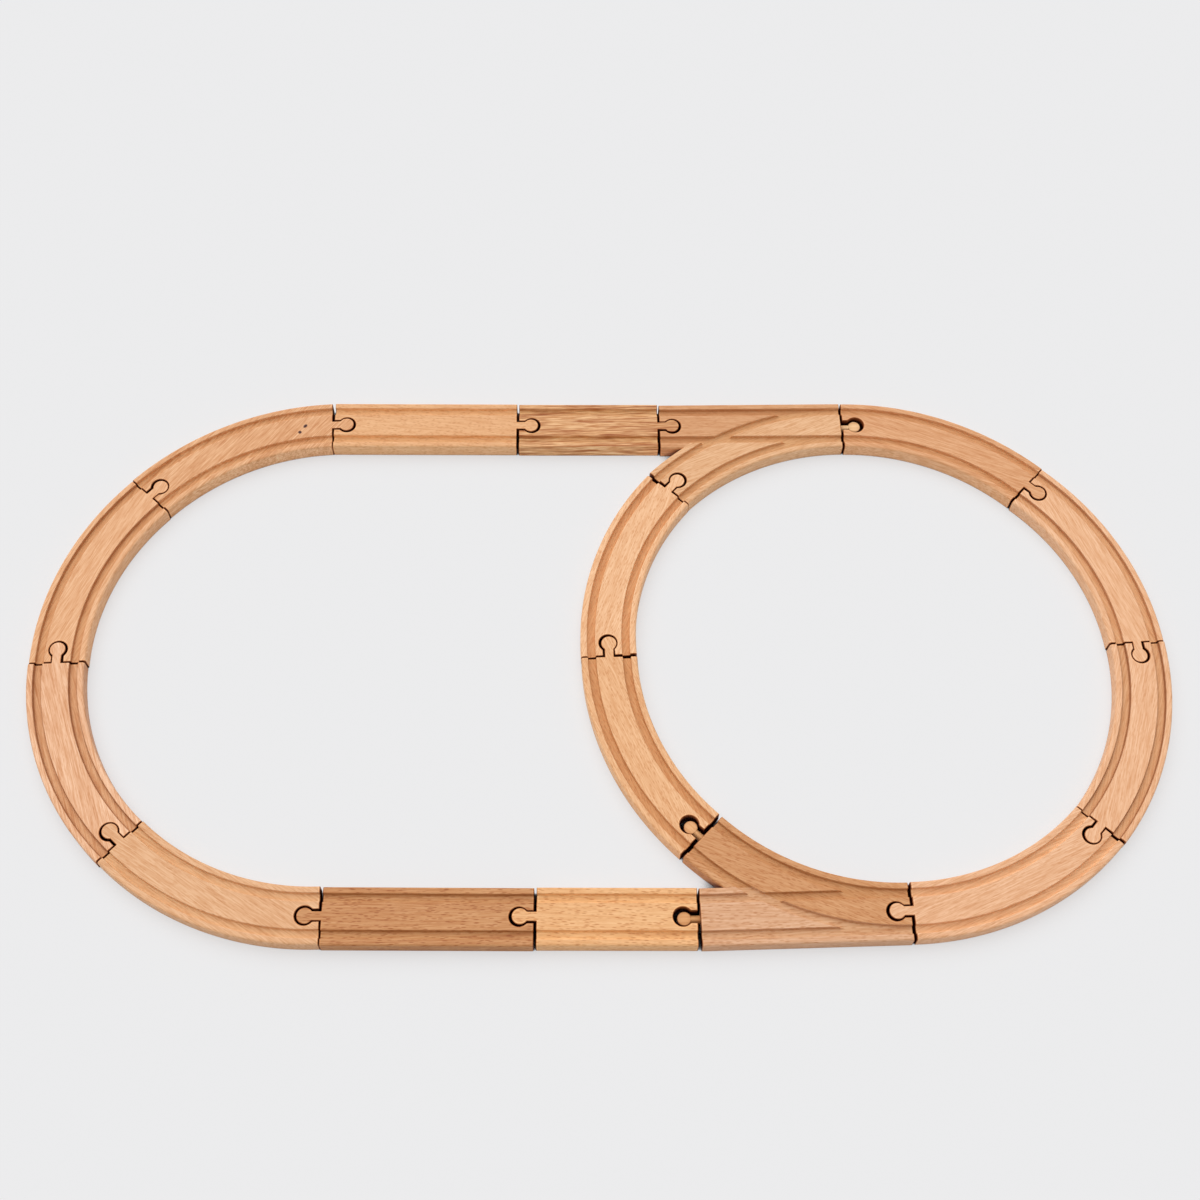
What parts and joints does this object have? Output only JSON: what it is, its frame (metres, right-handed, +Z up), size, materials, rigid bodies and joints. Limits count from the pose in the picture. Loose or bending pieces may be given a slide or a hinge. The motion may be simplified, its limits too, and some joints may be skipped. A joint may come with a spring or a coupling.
{
  "type": "wooden toy train track",
  "caption": "Flat oval of grooved beech track pieces with an inner loop, hooked together by round pegs in keyhole sockets, for push-along toy trains.",
  "frame": {"origin": "centre of the layout's bounding box, on the surface that the track lies on", "axes": "+X along the straight rows towards the inner loop, +Y across to the upper row, +Z up"},
  "size_m": [0.8316, 0.4418, 0.012],
  "materials": {
    "switch_upper": "sanded bare beech",
    "curve_right_1": "sanded bare beech",
    "curve_right_2": "sanded bare beech",
    "curve_right_3": "sanded bare beech",
    "curve_right_4": "sanded bare beech",
    "switch_lower": "sanded bare beech",
    "straight_lower_short": "sanded bare beech",
    "straight_lower_long": "sanded bare beech",
    "curve_left_4": "sanded bare beech",
    "curve_left_3": "sanded bare beech",
    "curve_left_2": "sanded bare beech",
    "curve_left_1": "sanded bare beech",
    "straight_upper_long": "sanded bare beech",
    "straight_upper_short": "sanded bare beech",
    "curve_inner_lower": "sanded bare beech",
    "curve_inner_upper": "sanded bare beech",
    "switch_upper_peg": "sanded bare beech",
    "switch_lower_peg_main": "sanded bare beech",
    "switch_lower_peg_branch": "sanded bare beech"
  },
  "bodies": {
    "switch_upper": {"switch_upper": "switch_upper", "switch_upper_peg": "switch_upper_peg"},
    "curve_right_1": {"curve_right_1": "curve_right_1"},
    "curve_right_2": {"curve_right_2": "curve_right_2"},
    "curve_right_3": {"curve_right_3": "curve_right_3"},
    "curve_right_4": {"curve_right_4": "curve_right_4"},
    "switch_lower": {"switch_lower": "switch_lower", "switch_lower_peg_main": "switch_lower_peg_main", "switch_lower_peg_branch": "switch_lower_peg_branch"},
    "straight_lower_short": {"straight_lower_short": "straight_lower_short"},
    "straight_lower_long": {"straight_lower_long": "straight_lower_long"},
    "curve_left_4": {"curve_left_4": "curve_left_4"},
    "curve_left_3": {"curve_left_3": "curve_left_3"},
    "curve_left_2": {"curve_left_2": "curve_left_2"},
    "curve_left_1": {"curve_left_1": "curve_left_1"},
    "straight_upper_long": {"straight_upper_long": "straight_upper_long"},
    "straight_upper_short": {"straight_upper_short": "straight_upper_short"},
    "curve_inner_lower": {"curve_inner_lower": "curve_inner_lower"},
    "curve_inner_upper": {"curve_inner_upper": "curve_inner_upper"}
  },
  "joints": [
    {"name": "curve_right_1_lift", "type": "slide", "parent": "switch_upper", "child": "curve_right_1", "axis": [0, 0, 1], "range_m": [0, 0.03]},
    {"name": "curve_right_2_lift", "type": "slide", "parent": "switch_upper", "child": "curve_right_2", "axis": [0, 0, 1], "range_m": [0, 0.03]},
    {"name": "curve_right_3_lift", "type": "slide", "parent": "switch_upper", "child": "curve_right_3", "axis": [0, 0, 1], "range_m": [0, 0.03]},
    {"name": "curve_right_4_lift", "type": "slide", "parent": "switch_upper", "child": "curve_right_4", "axis": [0, 0, 1], "range_m": [0, 0.03]},
    {"name": "switch_lower_lift", "type": "slide", "parent": "switch_upper", "child": "switch_lower", "axis": [0, 0, 1], "range_m": [0, 0.03]},
    {"name": "straight_lower_short_lift", "type": "slide", "parent": "switch_upper", "child": "straight_lower_short", "axis": [0, 0, 1], "range_m": [0, 0.03]},
    {"name": "straight_lower_long_lift", "type": "slide", "parent": "switch_upper", "child": "straight_lower_long", "axis": [0, 0, 1], "range_m": [0, 0.03]},
    {"name": "curve_left_4_lift", "type": "slide", "parent": "switch_upper", "child": "curve_left_4", "axis": [0, 0, 1], "range_m": [0, 0.03]},
    {"name": "curve_left_3_lift", "type": "slide", "parent": "switch_upper", "child": "curve_left_3", "axis": [0, 0, 1], "range_m": [0, 0.03]},
    {"name": "curve_left_2_lift", "type": "slide", "parent": "switch_upper", "child": "curve_left_2", "axis": [0, 0, 1], "range_m": [0, 0.03]},
    {"name": "curve_left_1_lift", "type": "slide", "parent": "switch_upper", "child": "curve_left_1", "axis": [0, 0, 1], "range_m": [0, 0.03]},
    {"name": "straight_upper_long_lift", "type": "slide", "parent": "switch_upper", "child": "straight_upper_long", "axis": [0, 0, 1], "range_m": [0, 0.03]},
    {"name": "straight_upper_short_lift", "type": "slide", "parent": "switch_upper", "child": "straight_upper_short", "axis": [0, 0, 1], "range_m": [0, 0.03]},
    {"name": "curve_inner_lower_lift", "type": "slide", "parent": "switch_upper", "child": "curve_inner_lower", "axis": [0, 0, 1], "range_m": [0, 0.03]},
    {"name": "curve_inner_upper_lift", "type": "slide", "parent": "switch_upper", "child": "curve_inner_upper", "axis": [0, 0, 1], "range_m": [0, 0.03]}
  ]
}
